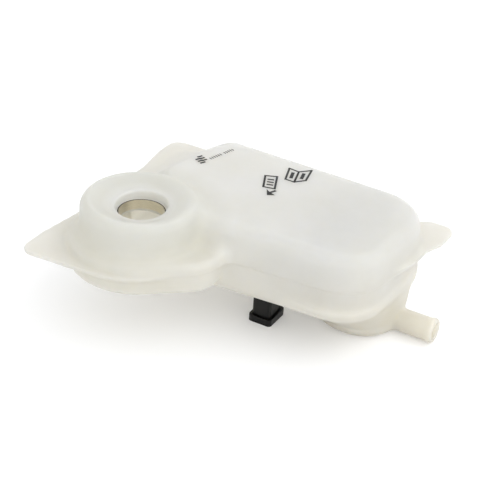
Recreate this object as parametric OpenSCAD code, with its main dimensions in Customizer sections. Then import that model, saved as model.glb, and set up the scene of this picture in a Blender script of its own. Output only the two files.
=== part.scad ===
// Coolant expansion tank: two welded plastic shells with a filler dome, a low sump with
// a hose spigot, and a plug-in level sensor with a sliding float.
// It is drawn about the dome: the drum stands on the Z axis, the weld plane is z = 0 and
// the spigot points along +X. placed() then puts the bottom centre of the box at the origin.

/* [Flange and ears] */
// Left edge of the weld flange at its ears, left of the dome axis
flange_left = 70; // [68:1:72]
// Front edge of the weld flange, in front of the dome axis
flange_front = 63; // [62:1:66]
// Back edge of the ears, behind the dome axis
flange_back = 162; // [158:1:166]
// Right edge of the back right ear
flange_right = 200; // [196:1:204]
// Thickness of each of the two flanges that are welded together
flange_t = 1.6; // [1.5:0.1:3]
// Width of the ledge that the flange makes in front of the dome, fading out to the right
ledge_w = 4.5; // [3:0.5:8]
// Corner radius of the ears
ear_r = 10; // [6:1:12]

/* [Filler dome] */
// Radius of the dome's foot
dome_foot_r = 55; // [54:0.5:56]
// Height of the dome's foot step above the weld plane
dome_foot_h = 9; // [8:0.5:10]
// Radius of the dome's drum at its foot
dome_tier_r = 47; // [46:0.5:48]
// Height of the dome's rounded top edge
dome_top_z = 41; // [40:0.25:42]
// Radius of the dome's rounded top edge
dome_edge_r = 9; // [7:0.5:10]
// Wall thickness of the upper shell
upper_wall = 2; // [1.9:0.1:3]

/* [Filler neck] */
// How far the neck stands right of the dome axis
neck_x = 2; // [0:0.5:3]
// Clear radius of the mouth above the sleeve
mouth_r = 20.5; // [20.3:0.1:20.8]
// Height of the mouth rim
mouth_z = 35.2; // [34.8:0.1:35.8]
// Bore radius of the metal sealing sleeve
sleeve_bore_r = 18; // [17.6:0.1:18.1]
// Wall thickness of the metal sealing sleeve
sleeve_t = 0.8; // [0.6:0.1:0.9]
// Height of the metal sealing sleeve
sleeve_h = 8; // [7:0.5:9]
// Height of the sleeve's top edge
sleeve_top_z = 28.5; // [27.5:0.25:29]
// Wall thickness of the neck tube at its mouth
neck_wall = 2.4; // [2.2:0.1:3]

/* [Body] */
// Straight back wall, behind the dome axis
body_back = 148; // [146:1:150]
// Straight right wall
body_right = 188; // [186:1:190]
// Height of the top surface at its left end
body_top_left = 32.5; // [31:0.5:33]
// Height of the top surface at its right end
body_top_right = 27; // [26:0.5:28]
// Radius of the rounded top edges
body_edge_r = 12; // [10:0.5:13]
// Depth of the shallow floor below the weld plane
floor_depth = 30; // [29:0.5:31]
// Depth of the tray under the filler dome
tray_depth = 18; // [16:0.5:20]
// Depth of the sump, which is also the resting height
sump_depth = 70; // [69.5:0.5:71]
// Wall thickness of the tray and the shallow floor
lower_wall = 2.3; // [2.2:0.1:3.4]
// Wall thickness of the sump
sump_wall = 5; // [4.2:0.1:5.2]
// Thickness of the baffles inside
baffle_t = 3; // [2.4:0.1:3.2]
// Width of the gaps in the baffles
baffle_gap = 14; // [12:1:16]

/* [Hose spigot] */
// Outer radius of the hose spigot
spigot_r = 9.5; // [9:0.25:10]
// Bore radius of the hose spigot
spigot_bore_r = 6.75; // [6:0.25:7.5]
// How far the spigot's end stands right of the body wall
spigot_len = 27; // [25:1:30]
// Radius of the bead at the spigot's end
spigot_bead_r = 10.4; // [10.2:0.1:10.8]

/* [Level sensor] */
// Bore radius of the sensor's boss in the floor
boss_bore_r = 9; // [8.5:0.1:9.5]
// Radial clearance of the sensor's plug in its boss
plug_gap = 0.15; // [0.1:0.05:0.2]
// Width of the sensor's connector shroud, along X
shroud_x = 16.5; // [16:0.5:18]
// Depth of the sensor's connector shroud, along Y
shroud_y = 21; // [19:0.5:22]
// How far the shroud's middle stands behind the sensor's axis
shroud_back = 1; // [0:0.5:1.5]
// How far the shroud's lip stands out
shroud_lip = 2; // [1.5:0.25:2.5]
// Outer radius of the stem that guides the float
stem_r = 4; // [3.5:0.25:4.5]
// Radial clearance of the float on the stem
float_gap = 0.4; // [0.3:0.05:0.5]
// Outer radius of the float
float_r = 10; // [8.5:0.5:11]
// Height of the float
float_h = 13; // [12:0.5:14]
// Travel of the float
float_travel = 16; // [14:0.5:16]

/* [Hidden] */

eps = 0.02;
round_fn = 96;
hull_fn = 40;

// Body corners on the weld plane: centre x, centre y and outer radius
corner_front_right = [body_right - 40, 59, 38];
corner_back_right = [body_right - 42, body_back - 42, 42];
body_corners = [
    [-40, body_back - 14, 14],
    [-32, 60, 20],
    [30, 38, 26],
    corner_front_right,
    corner_back_right
];

// Corners of the top surface: centre x, centre y, outer radius, height and edge radius
right_edge_r = body_edge_r - 3;
top_corners = [
    [2, body_back - 16, 14, body_top_left, body_edge_r],
    [-8, 66, 16, body_top_left, body_edge_r],
    [32, 40, 25, body_top_left, body_edge_r],
    [body_right - 41, 60, 36, body_top_right, body_edge_r],
    [body_right - 42, body_back - 42, 41, body_top_right, right_edge_r]
];

// Corners of the sump where it leaves the shallow floor
sump_rim = [
    [126, 44, 22],
    corner_front_right,
    corner_back_right,
    [122, body_back - 15, 15]
];
sump_rim_z = -floor_depth + 8;

// Corners of the sump's bottom: centre x, centre y and outer radius
sump_bottom = [
    [body_right - 40, 103, 36],
    [body_right - 34, 98, 26],
    [144, 98, 18],
    [130, 122, 20]
];
sump_edge_r = 10;
floor_edge_r = 8;

// Outline of the dome's foot and of the tray under it, drawn out to the right
dome_foot_x = -2;
foot_corners = [[dome_foot_x, 0, dome_foot_r], [42, 3, 29]];
foot_edge_r = 3;
foot_blend_r = 300;
tray_edge_r = 6;
flange_blend_r = 12;
dome_draft = 1;

// Places of the baffles across the tank, and of those that run along it from the first
baffle_x = [108, 128, 146, 164];
baffle_y = [30, 54, 84];
baffle_front = 20;
// Middles of the gaps in them
gap_y = [66, 103];
gap_x = [119, 156];

spigot_y = 103;
spigot_z = -sump_depth + spigot_bead_r;
spigot_end = body_right + spigot_len;
spigot_inside = 20;
spigot_bead_w = 4;
spigot_nose = 1;

sensor_x = 86;
sensor_y = 57.5;
boss_wall = 2.6;
boss_bottom = -floor_depth - 7;
boss_h = 14;
shroud_top = boss_bottom - 0.4;
shroud_wall = 1.8;
shroud_r = 2.5;
shroud_lip_h = 6;
shroud_web_z = -52;
stem_foot_z = -floor_depth + lower_wall + 2;
// Play at each end of the float's travel
end_play = 0.3;
float_low_z = stem_foot_z + end_play;
clip_h = 1.6;
clip_w = 3;
clip_groove_d = 0.8;
clip_z = float_low_z + float_h + float_travel + end_play;
stem_top = clip_z + clip_h + 1.4;
reed_r = 1.3;
reed_len = 15;
reed_gap = 0.2;
reed_z = stem_top - 2 - reed_len;
seal_minor_r = 1.1;
seal_groove_w = 2.6;
seal_groove_d = 1.65;
seal_z = boss_bottom + 3;
pin_pitch = 5;
pin_w = 2.4;
pin_t = 0.8;
pin_tip_z = -sump_depth + 3;
pin_root_z = shroud_web_z + 6;
magnet_r = stem_r + 3;
magnet_h = 4;

sleeve_r = sleeve_bore_r + sleeve_t;
rim_r = mouth_r + neck_wall;
neck_foot_z = sleeve_top_z - sleeve_h - 2;
// Width of the ledge under the sleeve that carries it
sleeve_ledge = 1.2;
rim_chamfer = 0.6;
// The dome's top dips to a flat ring round the mouth
dish_r = rim_r + 5.5;
dish_z = mouth_z - 2;
dish_drop = 1.5;
dish_slope_w = 6;

module placed() {
    translate([-(spigot_end - flange_left) / 2, -(flange_back - flange_front) / 2, sump_depth])
        children();
}

// Points of a quarter round from the wall to the top, centre [cr, cz], radius r
function quarter(cr, cz, r, n = 8) =
    [for (i = [0:n]) [cr + r * cos(90 * i / n), cz + r * sin(90 * i / n)]];

// A rounded disc: outer radius r, its edge rounded by e, its middle at height z
module puck(x, y, r, z, e) {
    translate([x, y, z])
        rotate_extrude($fn = hull_fn)
            intersection() {
                translate([r - e, 0])
                    circle(e, $fn = 32);
                translate([0, -e])
                    square([r, 2 * e]);
            }
}

module post(x, y, r, z0, z1) {
    translate([x, y, z0])
        cylinder(r = r, h = z1 - z0, $fn = hull_fn);
}

module rod(r, z0, z1) {
    translate([0, 0, z0])
        cylinder(r = r, h = z1 - z0, $fn = round_fn);
}

module ring(r_in, r_out, z0, z1) {
    difference() {
        rod(r_out, z0, z1);
        rod(r_in, z0 - 1, z1 + 1);
    }
}

// Plan of the body walls
module body_plan() {
    hull()
        for (c = body_corners)
            translate([c[0], c[1]])
                circle(c[2], $fn = 64);
}

// Plan of the dome's foot, its two rounds joined by nearly straight sides
module foot_plan() {
    offset(r = -foot_blend_r, $fn = 4 * round_fn)
        offset(r = foot_blend_r)
            for (c = foot_corners)
                translate([c[0], c[1]])
                    circle(c[2], $fn = round_fn);
}

// Plan of the three ears and the web between the left ones
module ear_plan() {
    offset(r = ear_r)
        offset(delta = -ear_r)
            polygon([
                [-flange_left + 1, -flange_front],
                [-2, -flange_front],
                [20, 20],
                [-10, 60],
                [0, body_back - 20],
                [150, body_back - 20],
                [body_right - 30, 100],
                [body_right - 2, 70],
                [body_right + 5, 90],
                [body_right + 6, 118],
                [flange_right, 134],
                [flange_right, flange_back - 1],
                [178, flange_back - 1],
                [160, body_back],
                [-14, body_back],
                [-32, flange_back],
                [-flange_left, flange_back],
                [-flange_left, 135],
                [-flange_left + 5, 105],
                [-flange_left + 5, 5],
                [-flange_left + 1, -30]
            ]);
}

// Plan of the whole weld flange: the ears, the ledge round the dome and the walls' outline
module flange_plan() {
    offset(r = -flange_blend_r)
        offset(r = flange_blend_r, $fn = 48) {
            ear_plan();
            translate([dome_foot_x - ledge_w / 2, -ledge_w])
                circle(dome_foot_r);
            foot_plan();
            body_plan();
        }
}

// Outer form of the upper body; w insets it by the wall thickness
module upper_body(w) {
    hull() {
        for (c = body_corners)
            post(c[0], c[1], c[2] - w, 0, 2);
        for (c = top_corners)
            puck(c[0], c[1], c[2] - w, c[3] - c[4], c[4] - w);
    }
}

// Foot step of the filler dome, w insets it by the wall thickness
module dome_foot(w) {
    hull()
        for (c = foot_corners) {
            post(c[0], c[1], c[2] - w, -w * eps, 2);
            puck(c[0], c[1], c[2] - w, dome_foot_h - foot_edge_r, foot_edge_r - w);
        }
}

// Half profile of the dome, t thick inside its outer face
module dome_profile(t) {
    top_r = dome_tier_r - dome_draft - dome_edge_r;
    polygon(concat(
        [[0, -t * eps], [dome_tier_r - t, -t * eps], [dome_tier_r - t, dome_foot_h]],
        quarter(top_r, dome_top_z - dome_edge_r, dome_edge_r - t),
        [[dish_r + dish_slope_w, dome_top_z - dish_drop - t], [dish_r, dish_z - t], [0, dish_z - t]]));
}

module dome(t) {
    rotate_extrude($fn = round_fn)
        dome_profile(t);
}

// Everything bored through the neck: mouth, sleeve seat and the ledge under the sleeve
module neck_bore() {
    rod(mouth_r, sleeve_top_z, mouth_z + 5);
    rod(sleeve_r, sleeve_top_z - sleeve_h, sleeve_top_z + 1);
    rod(sleeve_r - sleeve_ledge, neck_foot_z - 1, sleeve_top_z);
    translate([0, 0, mouth_z - rim_chamfer])
        cylinder(r1 = mouth_r, r2 = mouth_r + rim_chamfer + eps, h = rim_chamfer + eps, $fn = round_fn);
}

// Baffles inside, each with gaps for the coolant to pass
module baffles(z0, z1) {
    h = z1 - z0;
    difference() {
        for (x = baffle_x)
            translate([x, baffle_front, z0])
                cube([baffle_t, body_back - baffle_front, h]);
        for (y = gap_y)
            translate([baffle_x[0] - 1, y - baffle_gap / 2, z0 - 1])
                cube([body_right, baffle_gap, h + 2]);
    }
    difference() {
        for (y = baffle_y)
            translate([baffle_x[0], y, z0])
                cube([body_right - baffle_x[0], baffle_t, h]);
        for (x = gap_x)
            translate([x - baffle_gap / 2, baffle_y[0] - 1, z0 - 1])
                cube([baffle_gap, baffle_y[2] - baffle_y[0] + baffle_t + 2, h + 2]);
    }
}

module upper_shell() {
    color("whitesmoke")
        placed()
            difference() {
                union() {
                    linear_extrude(flange_t)
                        flange_plan();
                    dome_foot(0);
                    dome(0);
                    upper_body(0);
                    translate([neck_x, 0, 0])
                        rod(rim_r, dish_z - 1, mouth_z);
                }
                difference() {
                    union() {
                        dome(upper_wall);
                        dome_foot(upper_wall);
                        translate([0, 0, -eps])
                            upper_body(upper_wall);
                    }
                    translate([neck_x, 0, 0])
                        rod(rim_r, neck_foot_z, mouth_z);
                    baffles(-1, body_top_left);
                }
                translate([neck_x, 0, 0])
                    neck_bore();
            }
}

// Tray under the dome, drawn out to the right where it runs into the floor
module tray(w) {
    hull()
        for (c = foot_corners) {
            post(c[0], c[1], c[2] - 1 - w, -2, w * eps);
            puck(c[0], c[1], c[2] - 2 - w, -tray_depth + tray_edge_r, tray_edge_r - w);
        }
}

module floor_body(w) {
    hull()
        for (c = body_corners) {
            post(c[0], c[1], c[2] - w, -2, w * eps);
            puck(c[0], c[1], c[2] - 1 - w, -floor_depth + floor_edge_r, floor_edge_r - w);
        }
}

module sump(w) {
    hull() {
        for (c = sump_rim)
            post(c[0], c[1], c[2] - 1 - w, sump_rim_z, sump_rim_z + 2);
        for (c = sump_bottom)
            puck(c[0], c[1], c[2] - w, -sump_depth + sump_edge_r, sump_edge_r - w);
    }
}

// Places children on the spigot's axis, their z running out of the spigot's mouth
module along_spigot() {
    translate([body_right - spigot_inside, spigot_y, spigot_z])
        rotate([0, 90, 0])
            children();
}

module lower_shell() {
    spigot_all = spigot_len + spigot_inside;
    bead_end = spigot_all - spigot_nose;
    color("ivory")
        placed()
            difference() {
                union() {
                    translate([0, 0, -flange_t])
                        linear_extrude(flange_t)
                            flange_plan();
                    tray(0);
                    floor_body(0);
                    sump(0);
                    along_spigot() {
                        rod(spigot_r, 0, spigot_all);
                        rod(spigot_bead_r, bead_end - spigot_bead_w, bead_end);
                    }
                    translate([sensor_x, sensor_y, 0])
                        rod(boss_bore_r + boss_wall, boss_bottom, boss_bottom + boss_h);
                }
                difference() {
                    union() {
                        tray(lower_wall);
                        floor_body(lower_wall);
                        sump(sump_wall);
                    }
                    baffles(-sump_depth, 1);
                }
                along_spigot()
                    rod(spigot_bore_r, 0, spigot_all + 1);
                translate([sensor_x, sensor_y, 0])
                    rod(boss_bore_r, boss_bottom - 1, boss_bottom + boss_h + 1);
            }
}

module neck_sleeve() {
    color("silver")
        placed()
            translate([neck_x, 0, 0])
                ring(sleeve_bore_r, sleeve_r, sleeve_top_z - sleeve_h, sleeve_top_z);
}

// Rounded rectangle of the shroud in plan, moved outward by d
module shroud_plan(d) {
    translate([0, shroud_back])
        offset(r = shroud_r)
            square([shroud_x + 2 * (d - shroud_r), shroud_y + 2 * (d - shroud_r)], center = true);
}

// One moulding: connector shroud, the plug that fills the boss, and the hollow stem
module sensor_housing() {
    color("black")
        placed()
            translate([sensor_x, sensor_y, 0])
                difference() {
                    union() {
                        translate([0, 0, -sump_depth]) {
                            linear_extrude(shroud_top + sump_depth)
                                shroud_plan(0);
                            linear_extrude(shroud_lip_h)
                                shroud_plan(shroud_lip);
                        }
                        rod(boss_bore_r + boss_wall, shroud_top, boss_bottom);
                        rod(boss_bore_r - plug_gap, shroud_top, stem_foot_z);
                        rod(stem_r, shroud_top, stem_top);
                    }
                    translate([0, 0, -sump_depth - 1])
                        linear_extrude(shroud_web_z + sump_depth + 1)
                            shroud_plan(-shroud_wall);
                    pin_pair(shroud_web_z - 1);
                    rod(reed_r + reed_gap, reed_z - reed_gap, reed_z + reed_len + reed_gap);
                    ring(boss_bore_r - plug_gap - seal_groove_d, boss_bore_r + 5,
                        seal_z - seal_groove_w / 2, seal_z + seal_groove_w / 2);
                    ring(stem_r - clip_groove_d, stem_r + 5, clip_z, clip_z + clip_h);
                }
}

// Two flat pins from height z0 up to their roots in the web
module pin_pair(z0) {
    for (s = [-1, 1])
        translate([s * pin_pitch / 2 - pin_w / 2, -pin_t / 2, z0])
            cube([pin_w, pin_t, pin_root_z - z0]);
}

module contact_pins() {
    color("gold")
        placed()
            translate([sensor_x, sensor_y, 0])
                pin_pair(pin_tip_z);
}

// Round seal in the plug's groove, squeezed against the boss
module sensor_seal() {
    color("dimgray")
        placed()
            translate([sensor_x, sensor_y, seal_z])
                rotate_extrude($fn = round_fn)
                    translate([boss_bore_r - seal_minor_r + eps, 0])
                        circle(seal_minor_r, $fn = 24);
}

// Sealed glass capsule of the reed switch inside the stem
module reed_switch() {
    color("lightblue")
        placed()
            translate([sensor_x, sensor_y, 0])
                rod(reed_r, reed_z, reed_z + reed_len);
}

// Foamed float that slides on the stem, with a pocket for its ring magnet
module float_ring() {
    top = float_low_z + float_h;
    color("lightgray")
        placed()
            translate([sensor_x, sensor_y, 0])
                difference() {
                    ring(stem_r + float_gap, float_r, float_low_z, top);
                    rod(magnet_r, top - magnet_h, top + 1);
                }
}

module float_magnet() {
    top = float_low_z + float_h;
    color("darkslategray")
        placed()
            translate([sensor_x, sensor_y, 0])
                ring(stem_r + float_gap, magnet_r, top - magnet_h, top);
}

// Snap ring that keeps the float on the stem
module float_clip() {
    color("white")
        placed()
            translate([sensor_x, sensor_y, 0])
                ring(stem_r - clip_groove_d, stem_r - clip_groove_d + clip_w, clip_z, clip_z + clip_h);
}

upper_shell();
lower_shell();
neck_sleeve();
sensor_housing();
contact_pins();
sensor_seal();
reed_switch();
float_ring();
float_magnet();
float_clip();
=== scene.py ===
import math

import bpy
import numpy as np
from mathutils import Matrix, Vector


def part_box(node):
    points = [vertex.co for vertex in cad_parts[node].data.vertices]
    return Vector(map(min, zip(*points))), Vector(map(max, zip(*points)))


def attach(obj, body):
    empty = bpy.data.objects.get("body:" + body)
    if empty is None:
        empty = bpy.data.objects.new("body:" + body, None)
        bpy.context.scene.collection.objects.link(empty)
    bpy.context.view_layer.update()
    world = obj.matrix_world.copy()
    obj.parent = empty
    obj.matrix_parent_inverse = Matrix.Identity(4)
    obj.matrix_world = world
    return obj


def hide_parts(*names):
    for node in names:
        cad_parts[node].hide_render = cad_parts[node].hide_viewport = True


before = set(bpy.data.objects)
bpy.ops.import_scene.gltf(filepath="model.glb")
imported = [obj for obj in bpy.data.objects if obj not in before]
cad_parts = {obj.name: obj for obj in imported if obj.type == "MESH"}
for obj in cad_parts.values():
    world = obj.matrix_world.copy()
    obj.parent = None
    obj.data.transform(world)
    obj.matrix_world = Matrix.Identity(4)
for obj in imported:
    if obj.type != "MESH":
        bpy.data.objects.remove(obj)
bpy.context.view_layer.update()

# Upper shell
# The upper half of the tank: injection-moulded natural polypropylene, milky and translucent,
# 2 mm thick, with the filler dome and neck in one piece. Its flange is hot-plate welded
# to the lower half. All forms are worked out in mm about the dome's axis and the weld plane.

# From the dome's own frame, in mm, to the part's frame
SHIFT = np.array([-72.5, -49.5, 70.0])
# How far each half runs past the weld plane into the other, so that no line of light shows
WELD_LAP = 0.4


def to_metres(points):
    return (np.asarray(points, float) + SHIFT) * 0.001


def hull_outline(circles, grow=0.0):
    """Corner points of the convex outline round some circles (x, y, r)."""
    a = np.linspace(0, 2 * math.pi, 96, endpoint=False)
    pts = sorted({(round(x + (r + grow) * c, 4), round(y + (r + grow) * s, 4))
                  for x, y, r in circles for c, s in zip(np.cos(a), np.sin(a))})

    def half(run):
        out = []
        for p in run:
            while len(out) > 1 and ((out[-1][0] - out[-2][0]) * (p[1] - out[-2][1])
                                    - (out[-1][1] - out[-2][1]) * (p[0] - out[-2][0])) <= 0:
                out.pop()
            out.append(p)
        return out[:-1]

    return np.array(half(pts) + half(pts[::-1]))


def round_corners(corners):
    """Outline of a polygon whose corners (x, y, radius) are rounded."""
    out = []
    n = len(corners)
    for i, (x, y, r) in enumerate(corners):
        p = np.array([x, y])
        a = np.array(corners[i - 1][:2]) - p
        b = np.array(corners[(i + 1) % n][:2]) - p
        a, b = a / np.linalg.norm(a), b / np.linalg.norm(b)
        if r == 0:
            out.append(p)
            continue
        half = math.acos(np.clip(a @ b, -1, 1)) / 2
        cut = r / math.tan(half)
        mid = p + (a + b) / np.linalg.norm(a + b) * r / math.sin(half)
        start, end = p + a * cut - mid, p + b * cut - mid
        a0 = math.atan2(start[1], start[0])
        turn = (math.atan2(end[1], end[0]) - a0 + math.pi) % (2 * math.pi) - math.pi
        for k in range(9):
            t = a0 + turn * k / 8
            out.append(mid + r * np.array([math.cos(t), math.sin(t)]))
    return np.array(out)


def from_outline(poly, x, y):
    """Signed distance in plan from a closed outline, below zero inside it."""
    x, y = np.broadcast_arrays(x, y)
    best = np.full(x.shape, 1e9)
    inside = np.zeros(x.shape, bool)
    for (x0, y0), (x1, y1) in zip(poly, np.roll(poly, -1, axis=0)):
        ex, ey = x1 - x0, y1 - y0
        t = np.clip(((x - x0) * ex + (y - y0) * ey) / (ex * ex + ey * ey + 1e-12), 0, 1)
        best = np.minimum(best, (x - x0 - t * ex) ** 2 + (y - y0 - t * ey) ** 2)
        crosses = (y0 > y) != (y1 > y)
        inside ^= crosses & (x < x0 + (y - y0) * ex / (ey if ey else 1e-12))
    d = np.sqrt(best)
    return np.where(inside, -d, d)


def blend(a, b, k):
    """Union of two forms with a fillet about k mm wide between them."""
    h = np.clip(0.5 + 0.5 * (b - a) / k, 0, 1)
    return b * (1 - h) + a * h - k * h * (1 - h)


def crop(a, b, e):
    """Intersection of two forms whose common edge is rounded by e mm."""
    a, b = a + e, b + e
    return np.minimum(np.maximum(a, b), 0) + np.hypot(np.maximum(a, 0), np.maximum(b, 0)) - e


def cut(a, b, e):
    """Form a with form b taken away, the new edge rounded by e mm."""
    return crop(a, -b, e)


def levels(*runs):
    """Grid planes, in mm, from runs (start, stop, step)."""
    return np.unique(np.concatenate([np.arange(a, b, s) for a, b, s in runs]).round(4))


def sample(values, axes, p):
    """Values of a grid at free points, by straight mixing between grid points."""
    idx, part = [], []
    for k in range(3):
        i = np.clip(np.searchsorted(axes[k], p[:, k]) - 1, 0, len(axes[k]) - 2)
        idx.append(i)
        part.append(np.clip((p[:, k] - axes[k][i]) / (axes[k][i + 1] - axes[k][i]), 0, 1))
    out = 0
    for c in range(8):
        b = [(c >> k) & 1 for k in range(3)]
        w = np.prod([part[k] if b[k] else 1 - part[k] for k in range(3)], axis=0)
        out = out + w * values[idx[0] + b[0], idx[1] + b[1], idx[2] + b[2]]
    return out


def skin(name, field, axes, node):
    """Closed smooth mesh of a form's surface, kept to the box of the node it stands for.

    Only at the weld may it pass the box, by the weld's lap.
    """
    gx, gy, gz = np.meshgrid(*axes, indexing="ij", sparse=True)
    f = np.asarray(field(gx, gy, gz), np.float64)
    full = [np.broadcast_to(g, f.shape) for g in (gx, gy, gz)]
    sign = f < 0
    shape = tuple(n - 1 for n in f.shape)
    total = np.zeros(shape + (3,))
    count = np.zeros(shape)
    lo = [slice(0, -1)] * 3
    hi = [slice(1, None)] * 3
    for k in range(3):
        a = [slice(None)] * 3
        b = [slice(None)] * 3
        a[k], b[k] = lo[k], hi[k]
        fa, fb = f[tuple(a)], f[tuple(b)]
        change = sign[tuple(a)] != sign[tuple(b)]
        t = np.where(change, fa / np.where(change, fa - fb, 1), 0)
        pos = [full[m][tuple(a)] * (1 - t) + full[m][tuple(b)] * t for m in range(3)]
        others = [m for m in range(3) if m != k]
        for c in range(4):
            s = [slice(None)] * 3
            s[others[0]] = hi[0] if c & 1 else lo[0]
            s[others[1]] = hi[0] if c & 2 else lo[0]
            w = change[tuple(s)]
            count += w
            for m in range(3):
                total[..., m] += np.where(w, pos[m][tuple(s)], 0)
    live = count > 0
    number = np.full(shape, -1)
    number[live] = np.arange(live.sum())
    p = total[live] / count[live][:, None]
    faces = []
    for k in range(3):
        a = [slice(1, -1)] * 3
        b = [slice(1, -1)] * 3
        a[k], b[k] = slice(0, -1), slice(1, None)
        sa, sb = sign[tuple(a)], sign[tuple(b)]
        i, j, l = np.nonzero(sa != sb)
        spot = [i + (k != 0), j + (k != 1), l + (k != 2)]
        u, v = (k + 1) % 3, (k + 2) % 3
        ring = []
        for du, dv in ((0, 0), (1, 0), (1, 1), (0, 1)):
            q = [s.copy() for s in spot]
            q[u] = q[u] - 1 + du
            q[v] = q[v] - 1 + dv
            ring.append(number[q[0], q[1], q[2]])
        ring = np.stack(ring, 1)
        flip = ~sa[i, j, l]
        ring[flip] = ring[flip][:, ::-1]
        faces.append(ring)
    faces = np.concatenate(faces)
    # A few small steps along the slope bring each point onto the surface
    slopes = np.gradient(f, *axes)
    for _ in range(3):
        n = np.stack([sample(s, axes, p) for s in slopes], 1)
        size = np.maximum(np.linalg.norm(n, axis=1, keepdims=True), 0.3)
        p = p - np.clip(sample(f, axes, p)[:, None] / size, -0.4, 0.4) * n / size
    mesh = bpy.data.meshes.new(name)
    low, high = (np.array(c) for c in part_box(node))
    weld = SHIFT[2] * 0.001
    low[2] -= WELD_LAP * 0.001 * (abs(low[2] - weld) < 0.001)
    high[2] += WELD_LAP * 0.001 * (abs(high[2] - weld) < 0.001)
    mesh.from_pydata(np.clip(to_metres(p), low, high).tolist(), [], faces.tolist())
    mesh.validate()
    mesh.shade_smooth()
    obj = bpy.data.objects.new(name, mesh)
    bpy.context.collection.objects.link(obj)
    # A quarter of the faces goes where the surface is flattest, which leaves under 200,000
    fewer = obj.modifiers.new("fewer_faces", "DECIMATE")
    fewer.ratio = 0.75
    return obj


# Rounds (x, y, r) whose common outline is the body's wall on the weld plane
BODY_WALL = [(-40, 134, 14), (-32, 60, 20), (30, 38, 26), (148, 59, 38), (146, 106, 42)]
# The same where the walls, carried on upward, would meet the roof
BODY_TOP = [(8, 131, 11.5), (-0.5, 66, 16), (32, 40, 24.5), (147, 60, 35.5), (146, 106, 40.5)]
FOOT = [(-2, 0, 55), (42, 3, 29)]
EARS = [(-69, -63, 10), (-1.3, -59.4, 0), (20, 20, 0), (-10, 60, 0), (0, 128, 0), (150, 128, 0),
        (158, 100, 0), (186, 70, 4), (193, 90, 10), (194, 118, 10), (200, 134, 10),
        (200, 161, 10), (178, 161, 10), (160, 148, 10), (-14, 148, 10), (-32, 162, 10),
        (-70, 162, 12), (-70, 135, 12), (-65, 105, 20), (-65, 5, 20), (-69, -30, 20)]
# The ledge of the flange in front of the dome, a disc (x, y, r)
LEDGE = (-4.25, -4.5, 55)
FLANGE_T = 1.6
# Half a millimetre more than the real wall, which the cells of the mesh need
WALL = 2.5
ROOF_LEFT = 32.5
ROOF_FALL = 0.0278
ROOF_EDGE = 11.5
WALL_RISE = 30
FOOT_H = 9
FOOT_EDGE = 5
DRUM_R = 47
DRUM_TOP = 41.3
DRUM_EDGE = 9
NECK_X = 2.0
RIM_R = 22.9
NECK_FOOT = 18.5
MOUTH_R = 20.5
SLEEVE_TOP = 28.5
SLEEVE_SEAT_R = 18.8
SLEEVE_FOOT = 20.5
SLEEVE_LEDGE_R = 17.6

body_wall = hull_outline(BODY_WALL)
body_top = hull_outline(BODY_TOP)
foot_line = hull_outline(FOOT)
ear_line = round_corners(EARS)


def flange_edge(x, y):
    """Plan of the weld flange: three ears and a ledge in front of the dome, else flush."""
    ledge = np.hypot(x - LEDGE[0], y - LEDGE[1]) - LEDGE[2]
    d = np.minimum(from_outline(ear_line, x, y), ledge)
    d = blend(d, from_outline(foot_line, x, y) + 4, 8)
    return blend(d, from_outline(body_wall, x, y) + 4, 8)


def leaning(a, b, share, height):
    """Distance from a wall that leans from outline a at its foot to outline b over a height."""
    share = np.clip(share, 0, 1)
    return ((1 - share) * a + share * b) / np.hypot(1, (b - a) / height)


def edge_round(a, b, height, radius):
    """Rounding that crop needs where a leaning wall meets a flat roof at a blunt angle."""
    turn = np.arctan2(height, np.maximum(b - a, 0))
    upright = 1 - math.cos(math.pi / 4)
    return radius * np.maximum((1 - np.cos(turn / 2)) / upright, 0.1)


def rim_height(y):
    """Height of the mouth's rim, a little lower at the front than at the back."""
    return 33.7 + 0.07 * np.clip(y, -21, 21)


def upper_form(x, y, z):
    """Outer form of the upper half without its flange."""
    roof = ROOF_LEFT - ROOF_FALL * (x + 10)
    low, top = from_outline(body_wall, x, y), from_outline(body_top, x, y)
    # The wall leaves the weld upright and leans in from 6 mm up
    lean = np.where(z < 6, z * np.abs(z) / 12, z - 3) / (WALL_RISE - 1)
    body = crop(leaning(low, top, lean, WALL_RISE), z - roof, edge_round(low, top, WALL_RISE, ROOF_EDGE))
    foot = crop(from_outline(foot_line, x, y) + 0.06 * z, z - FOOT_H, FOOT_EDGE)
    r = np.hypot(x, y)
    r_neck = np.hypot(x - NECK_X, y)
    # The dome's top falls in a shallow cone to the mouth
    fall = 1 - np.clip((r_neck - 21) / 20, 0, 1)
    lid = DRUM_TOP - (DRUM_TOP + 0.3 - rim_height(y)) * fall
    drum = crop(r - DRUM_R + z / 34, (z - lid) * 0.95, DRUM_EDGE)
    return blend(blend(drum, foot, 12), body, 14)


def flange_slab(x, y, z, low, high):
    """The flange between two heights."""
    return crop(flange_edge(x, y), np.abs(z - (low + high) / 2) - (high - low) / 2, 0.6)


def rib(x, y, along_x, at, gaps, t=3.0):
    """A baffle across the tank at one place, with 14 mm gaps for the coolant."""
    a, b = (x, y) if along_x else (y, x)
    d = np.abs(a - at - t / 2) - t / 2
    for g in gaps:
        d = np.maximum(d, 7 - np.abs(b - g))
    return d


def baffles(x, y):
    """The crossing baffles over the sump, which both halves share."""
    d = np.full(np.broadcast(x, y).shape, 50.0)
    for at in (108, 128, 146, 164):
        d = np.minimum(d, np.maximum(rib(x, y, True, at, (66, 103)), at - 130 - y))
    for at in (30, 54, 84):
        along = np.maximum(108 - x, x - 125 - at)
        d = np.minimum(d, np.maximum(rib(x, y, False, at, (119, 156)), along))
    return d


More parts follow.
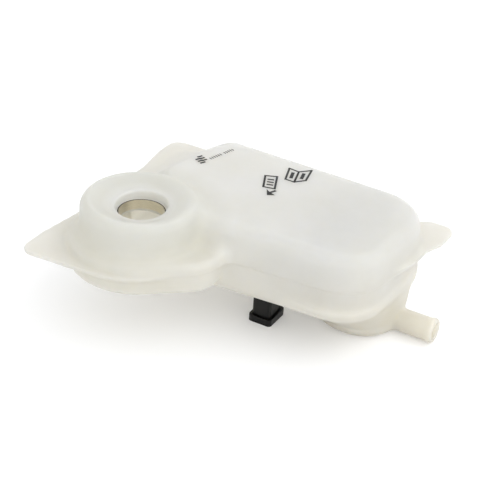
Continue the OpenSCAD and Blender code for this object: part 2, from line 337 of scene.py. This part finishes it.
def upper_shell_form(x, y, z):
    """The upper half: flange and neck added, hollowed, with the bores of the neck."""
    form = upper_form(x, y, z)
    r = np.hypot(x - NECK_X, y)
    solid = blend(form, flange_slab(x, y, z, -0.8, FLANGE_T), 6) + np.clip(-z, 0, 1)
    neck = crop(r - RIM_R, np.maximum(z - rim_height(y), NECK_FOOT - z), 1.0)
    hollow = np.maximum(np.maximum(form + WALL, -baffles(x, y)), -neck)
    hollow = np.maximum(hollow, -1 - z)
    shell = cut(blend(solid, neck, 3), hollow, 0.4)
    bore = np.minimum(crop(r - MOUTH_R, SLEEVE_TOP - z, 0.3),
                      crop(r - SLEEVE_SEAT_R, SLEEVE_FOOT - z, 0.2))
    bore = np.minimum(bore, r - SLEEVE_LEDGE_R)
    shell = cut(shell, bore, 0.5)
    return np.maximum(shell, -WELD_LAP - z)


STEP = 1.25
upper_axes = (levels((-72.5, 204, STEP)), levels((-66, 166, STEP)),
              levels((-1.15, 3, 0.5), (3, 44, 1.2)))
upper_shell = skin("upper_shell_skin", upper_shell_form, upper_axes, "upper_shell")


def colour(code):
    """Linear colour of an sRGB hex code."""
    v = [int(code[i:i + 2], 16) / 255 for i in (1, 3, 5)]
    return [c / 12.92 if c <= 0.04045 else ((c + 0.055) / 1.055) ** 2.4 for c in v] + [1.0]


def add(tree, kind, links=(), **values):
    """Adds one node: values go to its settings or sockets, links join sockets to it."""
    n = tree.nodes.new(kind)
    for k, v in values.items():
        if hasattr(n, k):
            setattr(n, k, v)
        else:
            numbered = k[0] == "i" and k[1:].isdigit()
            n.inputs[int(k[1:]) if numbered else k.replace("_", " ")].default_value = v
    for name, source in dict(links).items():
        tree.links.new(source, n.inputs[name])
    return n


def new_material(name):
    """An empty material, its node tree and its output."""
    m = bpy.data.materials.new(name)
    m.use_nodes = True
    t = m.node_tree
    t.nodes.clear()
    out = t.nodes.new("ShaderNodeOutputMaterial")
    return m, t, out


def ramp(tree, source, stops):
    """Colour ramp with stops (place, colour)."""
    n = add(tree, "ShaderNodeValToRGB", {"Fac": source})
    while len(n.color_ramp.elements) < len(stops):
        n.color_ramp.elements.new(0.5)
    for e, (at, c) in zip(n.color_ramp.elements, stops):
        e.position = at
        e.color = c
    return n.outputs["Color"]


def milky_plastic(name, seed):
    """Natural polypropylene, injection moulded: milky and satin, faintly yellow low down."""
    m, t, out = new_material(name)
    place = add(t, "ShaderNodeTexCoord").outputs["Object"]
    height = add(t, "ShaderNodeSeparateXYZ", {"Vector": place}).outputs["Z"]
    tone = ramp(t, add(t, "ShaderNodeMapRange", {"Value": height}, **{
        "From_Min": 0.0, "From_Max": 0.11}).outputs["Result"],
        [(0.0, colour("#F1ECE0")), (0.3, colour("#F7F3E8")), (0.6, colour("#FBF8F0")),
         (0.85, colour("#FBFAF5")), (1.0, colour("#FAFAF7"))])
    # Flow clouds of the moulding, 40 mm across
    clouds = add(t, "ShaderNodeTexNoise", {"Vector": place}, noise_dimensions="4D", W=seed,
                 Scale=25.0, Detail=4.0, Roughness=0.55).outputs["Fac"]
    shade = ramp(t, clouds, [(0.3, colour("#F3F2EC")), (0.7, colour("#FFFFFF"))])
    clouded = add(t, "ShaderNodeMix", {6: tone, 7: shade}, data_type="RGBA",
                  blend_type="MULTIPLY", i0=0.5)
    # Painted shade: the dome's wall is painted a little darker than the rest, to hold back the extra
    # light it gathers, but not the inside of its neck
    reach = add(t, "ShaderNodeVectorMath", {0: place}, operation="DISTANCE",
                i1=(-0.0725, -0.0495, 0.09))
    near = add(t, "ShaderNodeMapRange", {"Value": reach.outputs["Value"]}, **{
        "From_Min": 0.024, "From_Max": 0.075}).outputs["Result"]
    dome = ramp(t, near, [(0.0, colour("#FFFFFF")), (0.2, colour("#F3F3F0")),
                          (0.5, colour("#F4F4F1")), (1.0, colour("#FFFFFF"))])
    base = add(t, "ShaderNodeMix", {6: clouded.outputs[2], 7: dome}, data_type="RGBA",
               blend_type="MULTIPLY", i0=1.0)
    # Fine grain of the mould's surface, 0.5 mm, and its slow waves, 22 mm
    grain = add(t, "ShaderNodeTexNoise", {"Vector": place}, Scale=2000.0, Detail=2.0).outputs["Fac"]
    waves = add(t, "ShaderNodeTexNoise", {"Vector": place}, Scale=45.0, Detail=2.0).outputs["Fac"]
    bump = add(t, "ShaderNodeBump", {"Height": grain}, Strength=0.25, Distance=0.00004)
    wave = add(t, "ShaderNodeBump", {"Height": waves, "Normal": bump.outputs["Normal"]},
               Strength=0.35, Distance=0.0006)
    dull = add(t, "ShaderNodeMapRange", {"Value": clouds}, **{
        "To_Min": 0.34, "To_Max": 0.5}).outputs["Result"]
    body = add(t, "ShaderNodeBsdfPrincipled", {
        "Base Color": base.outputs[2], "Roughness": dull, "Normal": wave.outputs["Normal"]}, **{
        "IOR": 1.49, "Subsurface_Weight": 1.0, "Subsurface_Scale": 0.01,
        "Subsurface_Radius": (1.0, 0.95, 0.85)})
    # Much of the light is scattered on through the wall, which lights the tank from inside
    through = add(t, "ShaderNodeBsdfTranslucent", {
        "Color": base.outputs[2], "Normal": wave.outputs["Normal"]})
    milky = add(t, "ShaderNodeMixShader", Fac=0.3)
    t.links.new(body.outputs[0], milky.inputs[1])
    t.links.new(through.outputs[0], milky.inputs[2])
    # Some light goes straight through the wall, so that what is inside shows faintly
    clear = add(t, "ShaderNodeBsdfTransparent", Color=colour("#FFFFFF"))
    both = add(t, "ShaderNodeMixShader", Fac=0.25)
    t.links.new(milky.outputs[0], both.inputs[1])
    t.links.new(clear.outputs[0], both.inputs[2])
    t.links.new(both.outputs[0], out.inputs["Surface"])
    return m


upper_shell.data.materials.append(milky_plastic("natural_polypropylene_moulded", 1.0))
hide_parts("upper_shell")
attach(upper_shell, "tank")

# Lower shell
# The lower half, moulded from the same plastic: a tray under the dome, a shallow floor with
# the sensor's boss, and a deep sump with baffles and the hose spigot in one piece.
SUMP_RIM = [(126, 44, 21), (148, 59, 37), (146, 106, 41), (122, 133, 14)]
SUMP_BASE = [(148, 103, 36), (154, 98, 26), (144, 98, 18), (130, 122, 20)]
FLOOR_DEPTH = 30
FLOOR_LEAN = 0.9 / 22
TRAY_DEPTH = 18
TRAY_INSET = 1.2
SUMP_DEPTH = 70
# The sump's walls lean in from 22 mm below the weld, over 38 mm
SUMP_LEAN_TOP = 22
SUMP_LEAN_H = 38
LOW_WALL = 2.8
SUMP_WALL = 5
# The spigot's axis (y, z), and its radii and places along x
SPIGOT = (103.0, -59.6)
SPIGOT_R = 9.5
BEAD_R = 10.4
SPIGOT_BORE_R = 6.75
SENSOR = (86.0, 57.5)
BOSS_R = 11.6
BOSS_BORE_R = 9
sump_rim = hull_outline(SUMP_RIM)
sump_base = hull_outline(SUMP_BASE)


def lower_forms(x, y, z):
    """Outer forms of the lower half without its flange: shallow floor with tray, and sump."""
    floor = crop(from_outline(body_wall, x, y) - z * FLOOR_LEAN, -FLOOR_DEPTH - z, 8)
    tray = crop(from_outline(foot_line, x, y) + TRAY_INSET - z / TRAY_DEPTH, -TRAY_DEPTH - z, 6)
    rim, base = from_outline(sump_rim, x, y), from_outline(sump_base, x, y)
    side = leaning(rim, base, (-SUMP_LEAN_TOP - z) / SUMP_LEAN_H, SUMP_LEAN_H)
    sump = np.maximum(crop(side, -SUMP_DEPTH - z, 9), z + 20)
    return blend(floor, tray, 7), sump


def lower_shell_form(x, y, z):
    """The lower half: flange, spigot and boss added, hollowed, with its bores."""
    floor, sump = lower_forms(x, y, z)
    form = blend(floor, sump, 8)
    solid = blend(form, flange_slab(x, y, z, -FLANGE_T, 0.8), 6) + np.clip(z, 0, 1)
    round_spigot = np.hypot(y - SPIGOT[0], z - SPIGOT[1])
    tube = crop(round_spigot - SPIGOT_R, np.abs(x - 191.5) - 23.5, 0.6)
    bead = crop(round_spigot - BEAD_R, np.abs(x - 212) - 2.2, 1.2)
    r = np.hypot(x - SENSOR[0], y - SENSOR[1])
    boss = crop(r - BOSS_R, np.abs(z + FLOOR_DEPTH) - 7, 0.6)
    solid = np.minimum(blend(solid, tube, 3), bead)
    solid = blend(solid, boss, 2)
    hollow = np.minimum(floor + LOW_WALL, sump + SUMP_WALL)
    hollow = np.maximum(np.maximum(hollow, -baffles(x, y)), z - 2)
    shell = cut(solid, hollow, 0.4)
    shell = cut(shell, np.maximum(round_spigot - SPIGOT_BORE_R, 168 - x), 0.5)
    shell = cut(shell, np.maximum(r - BOSS_BORE_R, np.abs(z + FLOOR_DEPTH) - 9), 0.4)
    return np.maximum(shell, z - WELD_LAP)


LOW_STEP = 1.4
lower_axes = (levels((-72.8, 217.5, LOW_STEP)), levels((-66, 166, LOW_STEP)),
              levels((-72, -3, 1.4), (-3, 1.3, 0.5)))
lower_shell = skin("lower_shell_skin", lower_shell_form, lower_axes, "lower_shell")
lower_shell.data.materials.append(milky_plastic("natural_polypropylene_moulded_low", 7.0))
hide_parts("lower_shell")
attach(lower_shell, "tank")


# Filler neck sleeve
# A plain ring of stainless steel, drawn and cut to length, and pressed into the neck's seat.
# The round seal of the cap slides in it.
def drawn_steel(name, code, rough, axis_scale):
    """Stainless steel with the fine lines that drawing leaves round it, satin to the eye."""
    m, t, out = new_material(name)
    place = add(t, "ShaderNodeTexCoord").outputs["Object"]
    fine = add(t, "ShaderNodeMapping", {"Vector": place}, i3=axis_scale)
    lines = add(t, "ShaderNodeTexNoise", {"Vector": fine.outputs[0]}, Scale=300.0,
                Detail=3.0).outputs["Fac"]
    dark = [c * 0.86 for c in colour(code)[:3]] + [1.0]
    streaks = ramp(t, lines, [(0.3, dark), (0.7, colour(code))])
    # Painted dark reflection: the cut edges, which face up and down, are painted dark to stand for the
    # dark reflection on the sleeve's top
    facing = add(t, "ShaderNodeSeparateXYZ", {
        "Vector": add(t, "ShaderNodeNewGeometry").outputs["True Normal"]}).outputs["Z"]
    level = add(t, "ShaderNodeMath", {0: facing}, operation="ABSOLUTE").outputs[0]
    edge = ramp(t, level, [(0.5, colour("#FFFFFF")), (0.75, colour("#2E2B27"))])
    tint = add(t, "ShaderNodeMix", {6: streaks, 7: edge}, data_type="RGBA", blend_type="MULTIPLY",
               i0=1.0).outputs[2]
    bump = add(t, "ShaderNodeBump", {"Height": lines}, Strength=0.2, Distance=0.00003)
    metal = add(t, "ShaderNodeBsdfPrincipled", {"Base Color": tint, "Normal": bump.outputs["Normal"]},
                Metallic=1.0, Roughness=rough)
    t.links.new(metal.outputs[0], out.inputs["Surface"])
    return m


def dress(node, material, bevel=0.0):
    """Gives a CAD node its material and small rounded edges."""
    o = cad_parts[node]
    o.data.materials.clear()
    o.data.materials.append(material)
    if bevel:
        b = o.modifiers.new("edge", "BEVEL")
        b.width = bevel
        b.segments = 2
        b.limit_method = "ANGLE"
        b.harden_normals = True
    return o


sleeve_steel = drawn_steel("stainless_steel_drawn", "#E6DFCE", 0.3, (1.0, 1.0, 12.0))
dress("neck_sleeve", sleeve_steel, 0.0002)


# Level sensor
# A plug of black glass-filled nylon, moulded in one piece with its connector shroud and the
# stem that guides the float. It is pushed into the floor's boss from below.
def black_nylon(name):
    """Glass-filled nylon, injection moulded: black, faintly mottled, slightly shiny."""
    m, t, out = new_material(name)
    place = add(t, "ShaderNodeTexCoord").outputs["Object"]
    mottle = add(t, "ShaderNodeTexNoise", {"Vector": place}, Scale=400.0, Detail=5.0).outputs["Fac"]
    tint = ramp(t, mottle, [(0.3, colour("#070706")), (0.7, colour("#0D0D0B"))])
    rough = add(t, "ShaderNodeMapRange", {"Value": mottle}, **{"To_Min": 0.3, "To_Max": 0.48})
    bump = add(t, "ShaderNodeBump", {"Height": mottle}, Strength=0.3, Distance=0.00005)
    s = add(t, "ShaderNodeBsdfPrincipled", {
        "Base Color": tint, "Roughness": rough.outputs["Result"],
        "Normal": bump.outputs["Normal"]}, **{"IOR": 1.53, "Specular_IOR_Level": 0.25})
    t.links.new(s.outputs[0], out.inputs["Surface"])
    return m


dress("sensor_housing", black_nylon("black_nylon_moulded"), 0.0004)


# Small parts of the sensor
# Stamped and tinned brass pins, a moulded rubber seal, the glass capsule of the switch, a
# foamed plastic float with its sintered ferrite magnet, and the snap ring that holds them.
def mottled(name, dark, light, scale, rough, metal=0.0):
    """A finish with a fine mottle of two tones, scale in waves per metre."""
    m, t, out = new_material(name)
    place = add(t, "ShaderNodeTexCoord").outputs["Object"]
    mottle = add(t, "ShaderNodeTexNoise", {"Vector": place}, Scale=scale, Detail=4.0).outputs["Fac"]
    tint = ramp(t, mottle, [(0.3, colour(dark)), (0.7, colour(light))])
    bump = add(t, "ShaderNodeBump", {"Height": mottle}, Strength=0.2, Distance=0.00005)
    s = add(t, "ShaderNodeBsdfPrincipled", {"Base Color": tint, "Normal": bump.outputs["Normal"]},
            Roughness=rough, Metallic=metal)
    t.links.new(s.outputs[0], out.inputs["Surface"])
    return m


# Tinned brass, stamped: a bright metal with a soft yellow cast
tinned_brass = mottled("tinned_brass_stamped", "#B9A878", "#CDBE90", 900.0, 0.28, 1.0)
dress("contact_pins", tinned_brass, 0.0001)
# Black rubber, moulded: dull and even
dress("sensor_seal", mottled("black_rubber_moulded", "#101010", "#1B1B1A", 700.0, 0.55))
# Glass with the switch's leads behind it: a cool grey with sharp highlights
dress("reed_switch", mottled("clear_glass_capsule", "#9FB8B2", "#C3D6D0", 200.0, 0.08))
# Foamed polypropylene, moulded: grey and dull with 2 mm specks
foam = mottled("foamed_polypropylene_moulded", "#6E6D67", "#8B8A83", 500.0, 0.6)
dress("float_ring", foam, 0.0006)
# Ferrite, sintered: near black with a fine grain
dress("float_magnet", mottled("ferrite_sintered", "#222224", "#38383A", 900.0, 0.5), 0.0002)
# Acetal, moulded: off-white and slightly shiny
dress("float_clip", mottled("acetal_moulded", "#D9D8D2", "#E8E7E1", 500.0, 0.35), 0.0002)

# Printed marks
# Black pad printing on the tank's top: plain outlined shapes with bars, an arrow and a row of
# small dashes. It has no thickness to speak of and lies on the plastic.


def top_height(x, y):
    """Height of the tank's top surface over a place, in mm."""
    x, y = np.asarray(x, float), np.asarray(y, float)
    low, high = np.full(x.shape, 10.0), np.full(x.shape, 60.0)
    for _ in range(24):
        mid = (low + high) / 2
        inside = upper_form(x, y, mid) < 0
        low, high = np.where(inside, mid, low), np.where(inside, high, mid)
    return (low + high) / 2


def between(corners, u, v):
    """A place inside a four-cornered mark, u along its first side and v across."""
    a, b, c, d = (np.array(p, float) for p in corners)
    return (a * (1 - u) + b * u) * (1 - v) + (d * (1 - u) + c * u) * v


mark_points, mark_faces = [], []


def patch(a, b, c, d):
    """One printed four-sided patch, cut fine enough to follow the surface."""
    n = 5
    start = len(mark_points)
    for i in range(n):
        for j in range(n):
            u, v = i / (n - 1), j / (n - 1)
            mark_points.append(list(between((a, b, c, d), u, v)))
    for i in range(n - 1):
        for j in range(n - 1):
            q = start + i * n + j
            mark_faces.append((q, q + n, q + n + 1, q + 1))


def stroke(points, width, closed=False):
    """A printed line along some points."""
    pts = [np.array(p, float) for p in points]
    pairs = list(zip(pts, pts[1:] + pts[:1])) if closed else list(zip(pts, pts[1:]))
    for p, q in pairs:
        u = (q - p) / np.linalg.norm(q - p)
        n = np.array([-u[1], u[0]]) * width / 2
        p, q = p - u * width / 2, q + u * width / 2
        patch(p - n, q - n, q + n, p + n)


# A box with three bars, and an arrow below it
BOX = [(53.8, 102.2), (62.4, 106.6), (70.4, 88.0), (61.4, 85.4)]
stroke(BOX, 1.7, closed=True)
for v in (0.3, 0.52, 0.74):
    stroke([between(BOX, 0.34, v), between(BOX, 0.7, v)], 2.0)
stroke([(72.2, 85.0), (70.6, 81.0)], 2.2)
patch((65.5, 83.7), (69.2, 81.3), (75.5, 79.2), (70.3, 75.5))
# Two panels, like the halves of an open folder, with a bar in each
PANELS = [[(69.7, 107.1), (63.7, 125.0), (72.7, 124.5), (77.7, 107.3)],
          [(77.7, 107.3), (72.7, 124.5), (80.1, 133.0), (84.0, 115.3)]]
for panel in PANELS:
    stroke(panel, 1.7, closed=True)
    stroke([between(panel, 0.3, 0.5), between(panel, 0.7, 0.5)], 2.8)
# A block of six short strokes, and a row of eleven dashes with a space in it
for i in range(3):
    for j in range(2):
        a = np.array([-5.9 + i * 3.1 + j * 1.2, 95.3 - i * 1.4 - j * 4.5])
        stroke([a, a + np.array([1.3, 3.0])], 1.9)
for i in range(12):
    a = np.array([2.7 + i * 0.6, 99.6 + i * 2.2])
    if i != 6:
        stroke([a, a + np.array([2.0, -0.5])], 0.9)
flat = np.array(mark_points)
# The ink lies 0.06 mm over the surface
rise = top_height(flat[:, 0], flat[:, 1]) + 0.06
mesh = bpy.data.meshes.new("printed_marks")
mesh.from_pydata(to_metres(np.column_stack([flat, rise])).tolist(), [], mark_faces)
marks = bpy.data.objects.new("printed_marks", mesh)
bpy.context.collection.objects.link(marks)
# Pad printing ink: black and flat, with a fine uneven tone
marks.data.materials.append(mottled("black_ink_printed", "#0B0B0A", "#161614", 1200.0, 0.45))
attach(marks, "tank")

# Floor, light and camera
# A plain pale floor under soft studio light. Seen directly it is white, and it keeps the
# soft shadow under the part.
HALF = 3.0
floor_corners = [(-HALF, -HALF, 0), (HALF, -HALF, 0), (HALF, HALF, 0), (-HALF, HALF, 0)]
mesh = bpy.data.meshes.new("floor")
mesh.from_pydata(floor_corners, [], [(0, 1, 2, 3)])
floor = bpy.data.objects.new("floor", mesh)
bpy.context.collection.objects.link(floor)


def seen_directly(tree):
    """1 for rays from the camera, off a mirror or through glass, and 0 for all others."""
    path = add(tree, "ShaderNodeLightPath").outputs
    both = add(tree, "ShaderNodeMath", {0: path["Is Camera Ray"], 1: path["Is Glossy Ray"]},
               operation="MAXIMUM").outputs[0]
    return add(tree, "ShaderNodeMath", {0: both, 1: path["Is Transmission Ray"]},
               operation="MAXIMUM").outputs[0]


m, t, out = new_material("white_floor")
paint = add(t, "ShaderNodeBsdfDiffuse", Color=(0.86, 0.86, 0.86, 1.0))
glow = add(t, "ShaderNodeEmission", Strength=0.17)
lit = add(t, "ShaderNodeAddShader")
t.links.new(paint.outputs[0], lit.inputs[0])
t.links.new(glow.outputs[0], lit.inputs[1])
pick = add(t, "ShaderNodeMixShader", {"Fac": seen_directly(t)})
t.links.new(paint.outputs[0], pick.inputs[1])
t.links.new(lit.outputs[0], pick.inputs[2])
t.links.new(pick.outputs[0], out.inputs["Surface"])
floor.data.materials.append(m)

world = bpy.data.worlds.new("studio")
bpy.context.scene.world = world
world.use_nodes = True
t = world.node_tree
t.nodes.clear()
soft = add(t, "ShaderNodeBackground", Color=(0.97, 0.98, 1.0, 1.0), Strength=1.02)
white = add(t, "ShaderNodeBackground", Color=(1.0, 1.0, 1.0, 1.0), Strength=1.0)
pick = add(t, "ShaderNodeMixShader", {"Fac": seen_directly(t)})
t.links.new(soft.outputs[0], pick.inputs[1])
t.links.new(white.outputs[0], pick.inputs[2])
t.links.new(pick.outputs[0], add(t, "ShaderNodeOutputWorld").inputs["Surface"])


def soft_box(name, place, target, size, power):
    """A square studio light that faces a place."""
    light = bpy.data.lights.new(name, "AREA")
    light.shape = "SQUARE"
    light.size = size
    light.energy = power
    o = bpy.data.objects.new(name, light)
    bpy.context.collection.objects.link(o)
    o.location = place
    v = np.array(target, float) - np.array(place, float)
    yaw = math.atan2(v[0], -v[1])
    o.rotation_euler = (math.atan2(math.hypot(v[0], v[1]), -v[2]), 0, yaw + math.pi)
    return o


key = soft_box("key_light", (0.9, 0.6, 1.4), (0, 0, 0), 1.2, 4.5)
fill = soft_box("fill_light", (1.2, -0.8, 1.1), (0, 0, 0.03), 2.0, 8.5)

# The camera stands where the photograph was taken, 1.1 m away. ASIDE and UP are the place in
# the dome's frame, in mm, that it looks at.
ASIDE, UP, AWAY = 78.91, 1.56, 1100.0
AZ, EL, ROLL = (math.radians(v) for v in (28.6, 31.0, 3.3))
right = np.array([math.cos(AZ), math.sin(AZ), 0.0])
up = np.array([-math.sin(AZ) * math.sin(EL), math.cos(AZ) * math.sin(EL), math.cos(EL)])
back = np.array([math.sin(AZ) * math.cos(EL), -math.cos(AZ) * math.cos(EL), math.sin(EL)])
cam_x = math.cos(ROLL) * right + math.sin(ROLL) * up
cam_y = -math.sin(ROLL) * right + math.cos(ROLL) * up
spot = to_metres(ASIDE * cam_x + UP * cam_y + AWAY * back)
data = bpy.data.cameras.new("camera")
data.lens = 105.6
data.sensor_width = 36.0
data.clip_start = 0.05
camera = bpy.data.objects.new("camera", data)
bpy.context.collection.objects.link(camera)
turn = np.eye(4)
turn[:3, 0], turn[:3, 1], turn[:3, 2], turn[:3, 3] = cam_x, cam_y, back, spot
camera.matrix_world = Matrix(turn.tolist())
bpy.context.scene.camera = camera
bpy.context.scene.view_settings.view_transform = "Standard"
